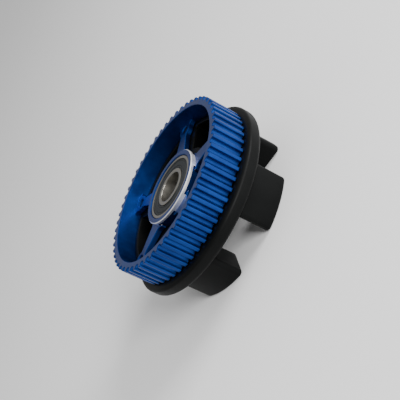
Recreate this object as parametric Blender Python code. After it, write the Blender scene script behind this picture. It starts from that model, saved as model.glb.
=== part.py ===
"""Belt drive pulley on a five-lug wheel adapter, with a sealed ball bearing in its hub.

The toothed aluminium pulley carries the bearing. Five screws pull it against a moulded adapter,
whose hollow lugs key into the wheel. Depths are measured from the rim's open face, which is on top.
Metres, +Z up along the bore, origin on the axis under the lug ends.
"""

import math

import bmesh
import bpy
from mathutils import Matrix, Vector

MM = 0.001

# Driving dimensions
HEIGHT = 41.2 * MM
SPOKES = 5
FIRST_LUG = math.radians(-90)
STEP = math.tau / SPOKES
SPOKE_ANGLES = [FIRST_LUG + STEP * (k + 0.5) for k in range(SPOKES)]
LUG_ANGLES = [FIRST_LUG + STEP * k for k in range(SPOKES)]
FIT_GAP = 0.3 * MM

# Belt teeth: 5 mm pitch, round profile
TEETH = 56
TOOTH_PITCH = 5.0 * MM
PITCH_LINE_OFFSET = 0.5715 * MM
GROOVE_DEPTH = 2.06 * MM
GROOVE_WIDTH = 3.05 * MM
GROOVE_STEPS = 3
TIP_R = TEETH * TOOTH_PITCH / math.tau - PITCH_LINE_OFFSET
RIM_BORE_R = 39.6 * MM
RIM_WIDTH = 15.5 * MM

# Spokes, screw bosses and hub, as depths behind the rim's open face
SPOKE_FRONT = 6.65 * MM
SPOKE_BACK = 9.3 * MM
SPOKE_ROOT_HALF = 4.4 * MM
SPOKE_NECK_HALF = 2.5 * MM
SPOKE_NECK_R = 31.0 * MM
GUSSET_HALF = 6.6 * MM
BOSS_R = 4.2 * MM
SCREW_CIRCLE_R = 36.0 * MM
HUB_FRONT = 4.3 * MM
HUB_BACK = 15.0 * MM
HUB_R = 18.2 * MM
COLLAR_R = 18.8 * MM
COLLAR_DEPTH = 1.35 * MM
PAD_HALF_ANGLE = math.radians(13.5)
PAD_R = COLLAR_R - 0.1 * MM
SHOULDER_R = 13.6 * MM

# Ball bearing, 15 x 32 x 9
BEARING_BORE_R = 7.5 * MM
BEARING_R = 16.0 * MM
BEARING_WIDTH = 9.0 * MM
BEARING_FRONT = 4.7 * MM
BEARING_MID = BEARING_FRONT + BEARING_WIDTH / 2
BEARING_CHAMFER = 0.3 * MM
SEAT_GAP = 0.15 * MM
BALLS = 9
BALL_R = 4.762 / 2 * MM
BALL_CIRCLE_R = 11.75 * MM
RACE_R = 2.48 * MM
OUTER_LAND_R = 13.6 * MM
INNER_LAND_R = 9.9 * MM
SEAL_RECESS_DEPTH = 1.0 * MM
SEAL_RECESS_R = 14.55 * MM
SEAL_STEP_R = 9.45 * MM
SEAL_THICKNESS = 0.7 * MM
SEAL_INSET = 0.2 * MM
SEAL_GAP = 0.2 * MM
CAGE_INNER_R = 10.6 * MM
CAGE_OUTER_R = 12.9 * MM
CAGE_SHEET = 0.4 * MM
CAGE_CLEARANCE = 0.12 * MM
CAGE_SPLIT = 0.1 * MM
RIVET_SHANK_R = 0.4 * MM
RIVET_HEAD_R = 0.75 * MM
RIVET_HEAD = 0.3 * MM
RIVET_GAP = 0.06 * MM

# Moulded adapter
SPIGOT_FRONT = SPOKE_BACK + FIT_GAP
SPIGOT_R = RIM_BORE_R - FIT_GAP
FLANGE_FRONT = RIM_WIDTH + FIT_GAP
FLANGE_BACK = 22.5 * MM
FLANGE_R = 47.15 * MM
FLANGE_FACE_R = 44.4 * MM
FLANGE_FULL_DEPTH = 17.6 * MM
FLANGE_BACK_ROUND = 2.0 * MM
CENTRE_BORE_R = HUB_R + FIT_GAP
CENTRE_WALL_R = 22.5 * MM
WINDOW_R = 37.0 * MM
RIB_HALF = 6.5 * MM
WINDOW_FLOOR = 19.5 * MM
LUG_R = 39.8 * MM
LUG_HALF_ANGLE = math.radians(20.5)
LUG_TAPER = math.radians(30)
LUG_INNER_R = 23.0 * MM
LUG_WALL = 3.0 * MM
LUG_END_BEVEL = 1.6 * MM
COUNTERBORE_R = 4.8 * MM
COUNTERBORE_FLOOR = 18.2 * MM
SCREW_HOLE_R = 2.2 * MM

# M4 x 12 button-head screws with plain washers
SCREW_R = 1.95 * MM
SCREW_LENGTH = 12.0 * MM
HEAD_R = 3.8 * MM
HEAD_HEIGHT = 2.2 * MM
SOCKET_FLATS = 2.5 * MM
SOCKET_DEPTH = 1.3 * MM
WASHER_R = 4.4 * MM
WASHER_HOLE_R = 2.2 * MM
WASHER_THICKNESS = 0.8 * MM
STACK_GAP = 0.05 * MM

FLANGE_SEGMENTS = 64
HUB_SEGMENTS = 40
BEARING_SEGMENTS = 40
SMALL_SEGMENTS = 16


def clear_scene():
    for obj in list(bpy.data.objects):
        bpy.data.objects.remove(obj, do_unlink=True)


def level(depth):
    """Height above the lug ends of a depth behind the rim's open face."""
    return HEIGHT - depth


def polar(radius, angle):
    return Vector((radius * math.cos(angle), radius * math.sin(angle)))


def make_material(name, colour, roughness, metallic):
    material = bpy.data.materials.new(name)
    material.use_nodes = True
    shader = material.node_tree.nodes["Principled BSDF"]
    shader.inputs["Base Color"].default_value = (*colour, 1.0)
    shader.inputs["Roughness"].default_value = roughness
    shader.inputs["Metallic"].default_value = metallic
    return material


def finish_mesh(name, mesh, material):
    """Face the shell outwards, shade it, and put it in the scene as one object."""
    mesh.name = name
    bm = bmesh.new()
    bm.from_mesh(mesh)
    bmesh.ops.recalc_face_normals(bm, faces=bm.faces)
    bm.to_mesh(mesh)
    bm.free()
    mesh.shade_smooth()
    mesh.set_sharp_from_angle(angle=math.radians(30))
    if material:
        mesh.materials.append(material)
    obj = bpy.data.objects.new(name, mesh)
    bpy.context.scene.collection.objects.link(obj)
    return obj


def turned(name, profile, segments, material=None):
    """Revolve a closed (radius, height) outline about Z. A point on the axis becomes a pole."""
    mesh = bpy.data.meshes.new(name)
    bm = bmesh.new()
    rings = []
    for radius, height in profile:
        if radius == 0:
            rings.append([bm.verts.new((0, 0, height))])
            continue
        ring = [polar(radius, math.tau * k / segments) for k in range(segments)]
        rings.append([bm.verts.new((p.x, p.y, height)) for p in ring])
    for lower, upper in zip(rings, rings[1:] + rings[:1]):
        if len(lower) == 1 and len(upper) == 1:
            continue
        for k in range(segments):
            after = (k + 1) % segments
            corners = [lower[k % len(lower)], lower[after % len(lower)]]
            corners += [upper[after % len(upper)], upper[k % len(upper)]]
            bm.faces.new(list(dict.fromkeys(corners)))
    bm.to_mesh(mesh)
    bm.free()
    return finish_mesh(name, mesh, material)


def extruded(name, outlines, low, high, material=None):
    """Raise a closed outline of (x, y) points, or several that share sides, from height low to high."""
    if not isinstance(outlines[0], list):
        outlines = [outlines]
    mesh = bpy.data.meshes.new(name)
    bm = bmesh.new()
    for outline in outlines:
        bm.faces.new([bm.verts.new((x, y, low)) for x, y in outline])
    bmesh.ops.remove_doubles(bm, verts=bm.verts, dist=0.0001 * MM)
    raised = bmesh.ops.extrude_face_region(bm, geom=list(bm.faces))
    moved = [v for v in raised["geom"] if isinstance(v, bmesh.types.BMVert)]
    bmesh.ops.translate(bm, verts=moved, vec=(0, 0, high - low))
    bm.to_mesh(mesh)
    bm.free()
    return finish_mesh(name, mesh, material)


def circle(radius, segments, centre=(0, 0)):
    points = [polar(radius, math.tau * k / segments) + Vector(centre) for k in range(segments)]
    return points


def arc(radius, start, end, steps):
    return [polar(radius, start + (end - start) * k / steps) for k in range(steps + 1)]


def combine(base, other, operation):
    """Join or cut with an exact Boolean, apply it, and drop the second object."""
    modifier = base.modifiers.new(operation.title(), "BOOLEAN")
    modifier.operation = operation
    modifier.solver = "EXACT"
    modifier.object = other
    bpy.context.view_layer.update()
    graph = bpy.context.evaluated_depsgraph_get()
    result = bpy.data.meshes.new_from_object(base.evaluated_get(graph))
    base.modifiers.clear()
    base.data = result
    bpy.data.objects.remove(other, do_unlink=True)


def around(base, angles, make, operation):
    """Make one shape about +X for each angle, turn it there, and join it to or cut it from the base."""
    for angle in angles:
        tool = make()
        tool.data.transform(Matrix.Rotation(angle, 4, "Z"))
        combine(base, tool, operation)


def tidy(obj):
    """Weld what a Boolean left doubled, and shade by angle again."""
    bm = bmesh.new()
    bm.from_mesh(obj.data)
    bmesh.ops.remove_doubles(bm, verts=bm.verts, dist=0.002 * MM)
    bmesh.ops.dissolve_degenerate(bm, edges=bm.edges, dist=0.001 * MM)
    bm.to_mesh(obj.data)
    bm.free()
    obj.data.shade_smooth()
    obj.data.set_sharp_from_angle(angle=math.radians(30))


# Pulley


def rim_outlines():
    """The rim seen along the axis, in pieces that run from a groove's middle to a land's middle."""
    half_pitch = math.pi / TEETH
    half_groove = math.asin(GROOVE_WIDTH / 2 / TIP_R)
    groove = []
    for step in range(GROOVE_STEPS + 1):
        across = step / GROOVE_STEPS
        groove.append((TIP_R - GROOVE_DEPTH * (1 - across**3), half_groove * across))
    outlines = []
    for tooth in range(TEETH):
        centre = math.tau * tooth / TEETH
        for side in (-1, 1):
            outline = [polar(radius, centre + side * angle) for radius, angle in groove]
            outline.append(polar(TIP_R, centre + side * half_pitch))
            outline.append(polar(RIM_BORE_R, centre + side * half_pitch))
            outline.append(polar(RIM_BORE_R, centre))
            outlines.append(outline if side > 0 else outline[::-1])
    return outlines


def spoke_half_width(radius):
    """Tapered arm, round screw boss, and a gusset that spreads into the rim."""
    taper = (radius - HUB_R) / (SPOKE_NECK_R - HUB_R)
    arm = SPOKE_ROOT_HALF + (SPOKE_NECK_HALF - SPOKE_ROOT_HALF) * min(1, max(0, taper))
    from_boss = radius - SCREW_CIRCLE_R
    boss = math.sqrt(max(0, BOSS_R**2 - from_boss**2))
    spread = max(0, from_boss / (RIM_BORE_R - SCREW_CIRCLE_R))
    gusset = BOSS_R + (GUSSET_HALF - BOSS_R) * spread**2 if spread else 0
    return max(arm, boss, gusset)


def spoke():
    inner = HUB_R - 0.8 * MM
    outer = RIM_BORE_R + 0.7 * MM
    start_of_boss = SCREW_CIRCLE_R - BOSS_R
    radii = [inner, HUB_R, SPOKE_NECK_R]
    radii += [start_of_boss + BOSS_R * share for share in (0.14, 0.22, 0.4, 0.6, 0.8, 1.0)]
    radii += [SCREW_CIRCLE_R + (RIM_BORE_R - SCREW_CIRCLE_R) * share for share in (0.4, 0.7, 1.0)]
    radii.append(outer)
    right = [(r, -spoke_half_width(r)) for r in radii]
    left = [(r, spoke_half_width(r)) for r in reversed(radii)]
    return extruded("spoke", right + left, level(SPOKE_BACK), level(SPOKE_FRONT))


def hub_pad():
    """The collar reaches down to the spoke's face over the width of the spoke."""
    outline = arc(PAD_R, -PAD_HALF_ANGLE, PAD_HALF_ANGLE, 4)
    outline += arc(HUB_R - 0.8 * MM, PAD_HALF_ANGLE, -PAD_HALF_ANGLE, 2)
    top = level(HUB_FRONT + COLLAR_DEPTH / 2)
    return extruded("hub_pad", outline, level(SPOKE_FRONT + 0.5 * MM), top)


def screw_hole(radius, low, high, name="hole"):
    centre = (SCREW_CIRCLE_R, 0)
    return extruded(name, circle(radius, SMALL_SEGMENTS, centre), low, high)


def make_pulley(material):
    pulley = extruded("pulley", rim_outlines(), level(RIM_WIDTH), level(0), material)
    over = 1.0 * MM
    collar_edge = 0.3 * MM
    hub_profile = [
        (HUB_R, level(HUB_BACK)),
        (HUB_R, level(HUB_FRONT + COLLAR_DEPTH)),
        (COLLAR_R, level(HUB_FRONT + COLLAR_DEPTH)),
        (COLLAR_R, level(HUB_FRONT + collar_edge)),
        (COLLAR_R - collar_edge, level(HUB_FRONT)),
        (BEARING_R + SEAT_GAP, level(HUB_FRONT)),
        (BEARING_R + SEAT_GAP, level(BEARING_FRONT + BEARING_WIDTH + SEAT_GAP)),
        (SHOULDER_R, level(BEARING_FRONT + BEARING_WIDTH + SEAT_GAP)),
        (SHOULDER_R, level(HUB_BACK)),
    ]
    around(pulley, SPOKE_ANGLES, spoke, "UNION")
    hub = turned("hub", hub_profile, HUB_SEGMENTS)
    combine(pulley, hub, "UNION")
    around(pulley, SPOKE_ANGLES, hub_pad, "UNION")
    low, high = level(SPOKE_BACK) - over, level(SPOKE_FRONT) + over
    around(pulley, SPOKE_ANGLES, lambda: screw_hole(SCREW_HOLE_R, low, high), "DIFFERENCE")
    tidy(pulley)
    return pulley


# Adapter


def flange_profile():
    """The flange, its spigot inside the rim and the wall round the centre, as one ring."""
    corner_steps = 3
    profile = [(CENTRE_BORE_R, level(FLANGE_BACK)), (CENTRE_BORE_R, level(SPIGOT_FRONT))]
    profile += [(SPIGOT_R, level(SPIGOT_FRONT)), (SPIGOT_R, level(FLANGE_FRONT))]
    for step in range(corner_steps + 1):
        turn = math.pi / 2 * step / corner_steps
        radius = FLANGE_FACE_R + (FLANGE_R - FLANGE_FACE_R) * math.sin(turn)
        depth = FLANGE_FULL_DEPTH - (FLANGE_FULL_DEPTH - FLANGE_FRONT) * math.cos(turn)
        profile.append((radius, level(depth)))
    for step in range(corner_steps + 1):
        turn = math.pi / 2 * step / corner_steps
        radius = FLANGE_R - FLANGE_BACK_ROUND * (1 - math.cos(turn))
        depth = FLANGE_BACK - FLANGE_BACK_ROUND * (1 - math.sin(turn))
        profile.append((radius, level(depth)))
    return profile


def lug_outline(wall):
    """Seen along the axis about +X: a round outer side, flat flanks and a flat inner end."""
    outer = LUG_R - wall
    corner = polar(LUG_R, LUG_HALF_ANGLE)
    slope = math.tan(LUG_TAPER)
    flank = corner.y - corner.x * slope - wall / math.cos(LUG_TAPER)
    # Where the flank, y = flank + slope * x, meets the outer radius
    square = 1 + slope**2
    x_out = (-flank * slope + math.sqrt(square * outer**2 - flank**2)) / square
    half_angle = math.atan2(flank + slope * x_out, x_out)
    x_in = LUG_INNER_R + wall
    y_in = flank + slope * x_in
    outline = arc(outer, -half_angle, half_angle, 8)
    return outline + [Vector((x_in, y_in)), Vector((x_in, -y_in))]


def lug():
    """One lug, its flank edges and its end edges broken, reaching up into the flange."""
    solid = extruded("lug", lug_outline(0), 0, level(FLANGE_BACK) + LUG_WALL / 2)
    bm = bmesh.new()
    bm.from_mesh(solid.data)
    ends = [e for e in bm.edges if all(v.co.z < 0.1 * MM for v in e.verts)]
    bmesh.ops.bevel(bm, geom=ends, offset=LUG_END_BEVEL, segments=2, profile=0.5, affect="EDGES")
    bm.to_mesh(solid.data)
    bm.free()
    return solid


def lug_pocket():
    return extruded("lug_pocket", lug_outline(LUG_WALL), LUG_WALL, level(WINDOW_FLOOR) + LUG_WALL / 2)


def window():
    """The opening between two ribs, about +X. Its sides run parallel to the spokes beside it."""
    half_step = STEP / 2
    outer_half = half_step - math.asin(RIB_HALF / WINDOW_R)
    inner_half = half_step - math.asin(RIB_HALF / CENTRE_WALL_R)
    outline = arc(WINDOW_R, -outer_half, outer_half, 10)
    outline += arc(CENTRE_WALL_R, inner_half, -inner_half, 4)
    return extruded("window", outline, level(WINDOW_FLOOR), level(SPIGOT_FRONT) + LUG_WALL)


def counterbored_hole():
    """A screw's clearance hole with the counterbore that takes its head from the rear."""
    over = 1.0 * MM
    back = level(FLANGE_BACK) - over
    floor = level(COUNTERBORE_FLOOR)
    front = level(SPIGOT_FRONT) + over
    profile = [(0, back), (COUNTERBORE_R, back), (COUNTERBORE_R, floor)]
    profile += [(SCREW_HOLE_R, floor), (SCREW_HOLE_R, front), (0, front)]
    hole = turned("counterbored_hole", profile, SMALL_SEGMENTS)
    hole.data.transform(Matrix.Translation((SCREW_CIRCLE_R, 0, 0)))
    return hole


def make_adapter(material):
    adapter = turned("drive_adapter", flange_profile(), FLANGE_SEGMENTS, material)
    around(adapter, LUG_ANGLES, lug, "UNION")
    around(adapter, LUG_ANGLES, window, "DIFFERENCE")
    around(adapter, LUG_ANGLES, lug_pocket, "DIFFERENCE")
    around(adapter, SPOKE_ANGLES, counterbored_hole, "DIFFERENCE")
    tidy(adapter)
    return adapter


# Bearing


def mirrored(half):
    """A half outline above the bearing's middle, completed with its mirror image below."""
    middle = level(BEARING_MID)
    upper = [(radius, middle + offset) for radius, offset in half]
    lower = [(radius, middle - offset) for radius, offset in reversed(half)]
    return upper + lower


def race_arc(land_r, side):
    """Ball track from the bearing's middle out to the land. Side +1 is the outer ring."""
    steps = 2
    rise = math.acos(abs(land_r - BALL_CIRCLE_R) / RACE_R)
    turns = [rise * step / steps for step in range(steps + 1)]
    return [(BALL_CIRCLE_R + side * RACE_R * math.cos(t), RACE_R * math.sin(t)) for t in turns]


def make_outer_ring(material):
    half_width = BEARING_WIDTH / 2
    half = race_arc(OUTER_LAND_R, 1)[1:]
    half += [(OUTER_LAND_R, half_width - SEAL_RECESS_DEPTH)]
    half += [(SEAL_RECESS_R, half_width - SEAL_RECESS_DEPTH), (SEAL_RECESS_R, half_width)]
    half += [(BEARING_R - BEARING_CHAMFER, half_width), (BEARING_R, half_width - BEARING_CHAMFER)]
    profile = mirrored(half)
    profile.append((BALL_CIRCLE_R + RACE_R, level(BEARING_MID)))
    return turned("bearing_outer_ring", profile, BEARING_SEGMENTS, material)


def make_inner_ring(material):
    half_width = BEARING_WIDTH / 2
    half = race_arc(INNER_LAND_R, -1)[1:]
    half += [(INNER_LAND_R, half_width - SEAL_RECESS_DEPTH)]
    half += [(SEAL_STEP_R, half_width - SEAL_RECESS_DEPTH), (SEAL_STEP_R, half_width)]
    half += [(BEARING_BORE_R + BEARING_CHAMFER, half_width)]
    half += [(BEARING_BORE_R, half_width - BEARING_CHAMFER)]
    profile = mirrored(half)
    profile.append((BALL_CIRCLE_R - RACE_R, level(BEARING_MID)))
    return turned("bearing_inner_ring", profile, BEARING_SEGMENTS, material)


def make_seal(name, side, material):
    """Side +1 is the front seal. It sits in the outer ring and clears the inner one."""
    outside = BEARING_WIDTH / 2 - SEAL_INSET
    inside = outside - SEAL_THICKNESS
    middle = level(BEARING_MID)
    low, high = sorted((middle + side * inside, middle + side * outside))
    inner, outer = SEAL_STEP_R + SEAL_GAP, SEAL_RECESS_R - SEAL_GAP
    profile = [(inner, low), (outer, low), (outer, high), (inner, high)]
    return turned(name, profile, BEARING_SEGMENTS, material)


def cage_stations():
    """(angle, lower, upper) round the pressed strip: flat between the balls, domed over each one."""
    inside = BALL_R + CAGE_CLEARANCE
    outside = inside + CAGE_SHEET
    flat_low, flat_high = CAGE_SPLIT, CAGE_SPLIT + CAGE_SHEET
    dome_steps = 6
    stations = []
    for ball in range(BALLS):
        centre = math.tau * ball / BALLS
        for step in range(dome_steps + 1):
            turn = math.pi * step / dome_steps
            low = max(flat_low, inside * math.sin(turn))
            high = max(flat_high, outside * math.sin(turn))
            low_angle = centre - inside * math.cos(turn) / BALL_CIRCLE_R
            high_angle = centre - outside * math.cos(turn) / BALL_CIRCLE_R
            stations.append(((low_angle, low), (high_angle, high)))
    return stations


def make_cage(name, side, material):
    """Half a riveted ribbon cage. Side +1 is the front half."""
    middle = level(BEARING_MID)
    mesh = bpy.data.meshes.new(name)
    bm = bmesh.new()
    rings = []
    for (low_angle, low), (high_angle, high) in cage_stations():
        corners = []
        for radius, angle, height in (
            (CAGE_INNER_R, low_angle, low),
            (CAGE_OUTER_R, low_angle, low),
            (CAGE_OUTER_R, high_angle, high),
            (CAGE_INNER_R, high_angle, high),
        ):
            corners.append(bm.verts.new((*polar(radius, angle), middle + side * height)))
        rings.append(corners)
    for here, there in zip(rings, rings[1:] + rings[:1]):
        for k in range(4):
            bm.faces.new((here[k], here[(k + 1) % 4], there[(k + 1) % 4], there[k]))
    bm.to_mesh(mesh)
    bm.free()
    cage = finish_mesh(name, mesh, material)
    for k in range(BALLS):
        centre = polar(BALL_CIRCLE_R, math.tau * (k + 0.5) / BALLS)
        outline = circle(RIVET_SHANK_R + RIVET_GAP, 8, centre)
        reach = 3 * CAGE_SHEET
        combine(cage, extruded("rivet_hole", outline, middle - reach, middle + reach), "DIFFERENCE")
    tidy(cage)
    return cage


def make_rivet(index, material):
    under_head = CAGE_SPLIT + CAGE_SHEET + STACK_GAP
    over_head = under_head + RIVET_HEAD
    profile = [(0, -over_head), (RIVET_HEAD_R, -over_head), (RIVET_HEAD_R, -under_head)]
    profile += [(RIVET_SHANK_R, -under_head), (RIVET_SHANK_R, under_head)]
    profile += [(RIVET_HEAD_R, under_head), (RIVET_HEAD_R, over_head), (0, over_head)]
    rivet = turned(f"bearing_cage_rivet_{index + 1}", profile, 8, material)
    centre = polar(BALL_CIRCLE_R, math.tau * (index + 0.5) / BALLS)
    rivet.location = (centre.x, centre.y, level(BEARING_MID))
    return rivet


def make_ball(index, material):
    mesh = bpy.data.meshes.new("ball")
    bm = bmesh.new()
    bmesh.ops.create_uvsphere(bm, u_segments=10, v_segments=7, radius=BALL_R)
    bm.to_mesh(mesh)
    bm.free()
    ball = finish_mesh(f"bearing_ball_{index + 1}", mesh, material)
    centre = polar(BALL_CIRCLE_R, math.tau * index / BALLS)
    ball.location = (centre.x, centre.y, level(BEARING_MID))
    return ball


# Fasteners


def make_screw(index, material):
    """Button head with a hex socket, head down, its shank reaching up into the spoke's boss."""
    washer_face = COUNTERBORE_FLOOR + STACK_GAP + WASHER_THICKNESS + STACK_GAP
    seat = level(washer_face)
    crown = HEAD_HEIGHT * 0.4
    profile = [
        (0, seat - HEAD_HEIGHT),
        (HEAD_R * 0.55, seat - HEAD_HEIGHT),
        (HEAD_R * 0.85, seat - HEAD_HEIGHT + crown),
        (HEAD_R, seat - crown),
        (HEAD_R, seat),
        (SCREW_R, seat),
        (SCREW_R, seat + SCREW_LENGTH - SCREW_R * 0.3),
        (SCREW_R * 0.7, seat + SCREW_LENGTH),
        (0, seat + SCREW_LENGTH),
    ]
    screw = turned(f"adapter_screw_{index + 1}", profile, SMALL_SEGMENTS, material)
    socket = extruded(
        "socket",
        circle(SOCKET_FLATS / math.sqrt(3), 6),
        seat - HEAD_HEIGHT - SOCKET_DEPTH,
        seat - HEAD_HEIGHT + SOCKET_DEPTH,
    )
    combine(screw, socket, "DIFFERENCE")
    tidy(screw)
    screw.location = (*polar(SCREW_CIRCLE_R, SPOKE_ANGLES[index]), 0)
    return screw


def make_washer(index, material):
    high = level(COUNTERBORE_FLOOR + STACK_GAP)
    low = high - WASHER_THICKNESS
    profile = [(WASHER_HOLE_R, low), (WASHER_R, low), (WASHER_R, high), (WASHER_HOLE_R, high)]
    washer = turned(f"adapter_washer_{index + 1}", profile, SMALL_SEGMENTS, material)
    washer.location = (*polar(SCREW_CIRCLE_R, SPOKE_ANGLES[index]), 0)
    return washer


def moving_frame(name, pieces):
    """An empty on the bore's axis that carries the pieces turning with it."""
    empty = bpy.data.objects.new(name, None)
    bpy.context.scene.collection.objects.link(empty)
    for piece in pieces:
        piece.parent = empty


def main():
    clear_scene()
    anodised = make_material("blue_anodised_aluminium", (0.02, 0.10, 0.38), 0.38, 1.0)
    moulded = make_material("black_glass_filled_nylon", (0.012, 0.013, 0.014), 0.55, 0.0)
    bearing_steel = make_material("bearing_steel", (0.62, 0.61, 0.58), 0.22, 1.0)
    seal_rubber = make_material("seal_rubber", (0.035, 0.037, 0.036), 0.6, 0.0)
    cage_steel = make_material("pressed_cage_steel", (0.5, 0.48, 0.44), 0.35, 1.0)
    screw_steel = make_material("black_oxide_steel", (0.03, 0.03, 0.032), 0.4, 1.0)
    washer_zinc = make_material("zinc_plated_steel", (0.55, 0.56, 0.58), 0.35, 1.0)

    make_pulley(anodised)
    make_adapter(moulded)
    make_outer_ring(bearing_steel)
    make_seal("bearing_seal_front", 1, seal_rubber)
    make_seal("bearing_seal_rear", -1, seal_rubber)
    moving_frame("inner_ring_axis", [make_inner_ring(bearing_steel)])
    cage_pieces = [make_cage("bearing_cage_front", 1, cage_steel)]
    cage_pieces.append(make_cage("bearing_cage_rear", -1, cage_steel))
    cage_pieces += [make_ball(k, bearing_steel) for k in range(BALLS)]
    cage_pieces += [make_rivet(k, cage_steel) for k in range(BALLS)]
    moving_frame("cage_axis", cage_pieces)
    for k in range(SPOKES):
        make_screw(k, screw_steel)
        make_washer(k, washer_zinc)


main()
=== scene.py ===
# %% [markdown]
# # A toothed belt pulley on a five-lug wheel adapter
#
# The object is a belt pulley of blue anodised aluminium, with a sealed ball bearing in its hub, screwed
# to a black moulded adapter whose hollow lugs key into a wheel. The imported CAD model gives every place
# and size. This script dresses it: finer meshes with their edges broken, and a procedural material for
# each real finish. Everything here is in metres, and +Z runs along the bore, towards the open front.

import math

import bmesh
import bpy
from mathutils import Matrix, Vector


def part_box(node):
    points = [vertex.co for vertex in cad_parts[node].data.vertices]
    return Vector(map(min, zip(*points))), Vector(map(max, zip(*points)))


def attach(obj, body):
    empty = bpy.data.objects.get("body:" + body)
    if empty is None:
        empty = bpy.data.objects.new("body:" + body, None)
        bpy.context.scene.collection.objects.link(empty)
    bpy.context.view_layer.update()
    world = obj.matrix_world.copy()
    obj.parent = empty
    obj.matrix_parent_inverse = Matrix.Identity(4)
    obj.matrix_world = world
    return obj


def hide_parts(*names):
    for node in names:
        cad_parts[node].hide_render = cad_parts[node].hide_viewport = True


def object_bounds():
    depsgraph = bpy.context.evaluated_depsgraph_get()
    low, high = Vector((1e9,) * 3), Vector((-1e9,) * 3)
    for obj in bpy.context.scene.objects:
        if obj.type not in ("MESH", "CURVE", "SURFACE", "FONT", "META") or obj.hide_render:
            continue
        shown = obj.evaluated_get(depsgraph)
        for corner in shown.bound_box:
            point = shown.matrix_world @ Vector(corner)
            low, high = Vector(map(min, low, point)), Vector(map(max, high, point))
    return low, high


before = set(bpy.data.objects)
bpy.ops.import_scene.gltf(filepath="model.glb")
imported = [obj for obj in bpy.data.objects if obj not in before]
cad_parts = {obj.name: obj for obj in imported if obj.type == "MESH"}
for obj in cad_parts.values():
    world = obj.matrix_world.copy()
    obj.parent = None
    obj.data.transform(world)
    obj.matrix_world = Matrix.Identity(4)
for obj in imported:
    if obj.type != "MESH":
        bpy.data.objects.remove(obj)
cad_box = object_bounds()
print("CAD box, mm:", [[round(1000 * x, 2) for x in corner] for corner in cad_box])

# %% [markdown]
# Sizes are kept in millimetres where they are a machinist's numbers, and read from the frame where the
# CAD model already settles them: the rim's face and width, the flange, the bearing and the screws.

# %% Sizes from the frame
MM = 0.001
FIXED = "pulley_and_adapter"
pulley_low, pulley_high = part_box("pulley")
adapter_low, adapter_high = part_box("drive_adapter")
ring_low, ring_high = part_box("bearing_outer_ring")

SPOKES = 5
FIRST_LUG = math.radians(-90)
STEP = math.tau / SPOKES
LUG_ANGLES = [FIRST_LUG + STEP * k for k in range(SPOKES)]
SPOKE_ANGLES = [angle + STEP / 2 for angle in LUG_ANGLES]

RIM_FRONT = pulley_high.z
RIM_BACK = pulley_low.z
TIP_R = 43.99 * MM
FLANGE_R = adapter_high.x
BEARING_R = ring_high.x
BEARING_FRONT = ring_high.z
BEARING_BACK = ring_low.z
BEARING_MID = (BEARING_FRONT + BEARING_BACK) / 2


def below(depth_mm):
    """Height of a depth, in millimetres, behind the rim's open face."""
    return RIM_FRONT - depth_mm * MM


print("rim width, mm:", round((RIM_FRONT - RIM_BACK) / MM, 2), " flange radius, mm:", round(FLANGE_R / MM, 2))

# %% [markdown]
# ## The camera
#
# The object is seen from its open front, 21 degrees above the plane of the rim, by a 79 mm lens. The
# camera is rolled so that the bore's axis runs down to the right. Its three axes are written out for a
# lug that points at the camera, then turned about the bore to where the lugs really stand.

# %% Camera
VIEW_TURN = math.radians(-22.2)
LENS_MM = 78.7
DISTANCE = 9.066
turn = Matrix.Rotation(VIEW_TURN, 3, "Z")
cam_right = turn @ Vector((0.4443, -0.3238, -0.8353)).normalized()
cam_forward = turn @ Vector((0.0, 0.9324, -0.3614)).normalized()
cam_up = cam_right.cross(cam_forward).normalized()
rim_centre = Vector((0, 0, RIM_FRONT))
eye = rim_centre - TIP_R * (-0.405 * cam_right + 0.186 * cam_up + DISTANCE * cam_forward)

camera_data = bpy.data.cameras.new("camera")
camera_data.lens = LENS_MM
camera_data.clip_start = 0.01
camera_data.clip_end = 50
camera = bpy.data.objects.new("camera", camera_data)
axes = Matrix((cam_right, cam_up, -cam_forward)).transposed()
camera.matrix_world = Matrix.Translation(eye) @ axes.to_4x4()
bpy.context.scene.collection.objects.link(camera)
bpy.context.scene.camera = camera
print("camera stands", round(eye.length, 3), "m away, at height", round(eye.z, 3), "m")

# %% [markdown]
# ## Light and floor
#
# The light is that of a product tent: an even white all round, with a broad key panel high on one side and
# a smaller panel near the camera. Metal shows what is around it, so big soft panels matter more than their
# power. The front panel is there for the bright band inside the rim, which otherwise mirrors mostly blue.
# The floor is plain and pale, wide enough to reach past the view.


# %% Lights and floor
def add_panel(name, place, size, power):
    """A square panel of light that faces the object."""
    data = bpy.data.lights.new(name, "AREA")
    data.shape = "SQUARE"
    data.size = size
    data.energy = power
    panel = bpy.data.objects.new(name, data)
    panel.location = place
    panel.rotation_mode = "QUATERNION"
    panel.rotation_quaternion = (rim_centre - Vector(place)).to_track_quat("-Z", "Y")
    bpy.context.scene.collection.objects.link(panel)
    return panel


def from_camera(right, up, towards):
    """A place given in metres from the object along the camera's own directions."""
    return rim_centre + right * cam_right + up * cam_up - towards * cam_forward


panels = [
    add_panel("key_panel", from_camera(0.2, 1.0, 0.4), 0.5, 15.0),
    add_panel("front_panel", from_camera(0.12, 0.3, 0.9), 0.35, 11.0),
]

WORLD_STRENGTH = 0.6
world = bpy.data.worlds.new("tent")
bpy.context.scene.world = world
world.use_nodes = True
world.node_tree.nodes["Background"].inputs["Color"].default_value = (1, 1, 1, 1)
world.node_tree.nodes["Background"].inputs["Strength"].default_value = WORLD_STRENGTH

FLOOR_SIDE = 8.0
floor_mesh = bpy.data.meshes.new("floor")
corner = FLOOR_SIDE / 2
corners = [(-corner, -corner, 0), (corner, -corner, 0), (corner, corner, 0), (-corner, corner, 0)]
floor_mesh.from_pydata(corners, [], [(0, 1, 2, 3)])
floor = bpy.data.objects.new("floor", floor_mesh)
floor.location.z = cad_box[0].z
bpy.context.scene.collection.objects.link(floor)
print("panels:", [panel.name for panel in panels])

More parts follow.
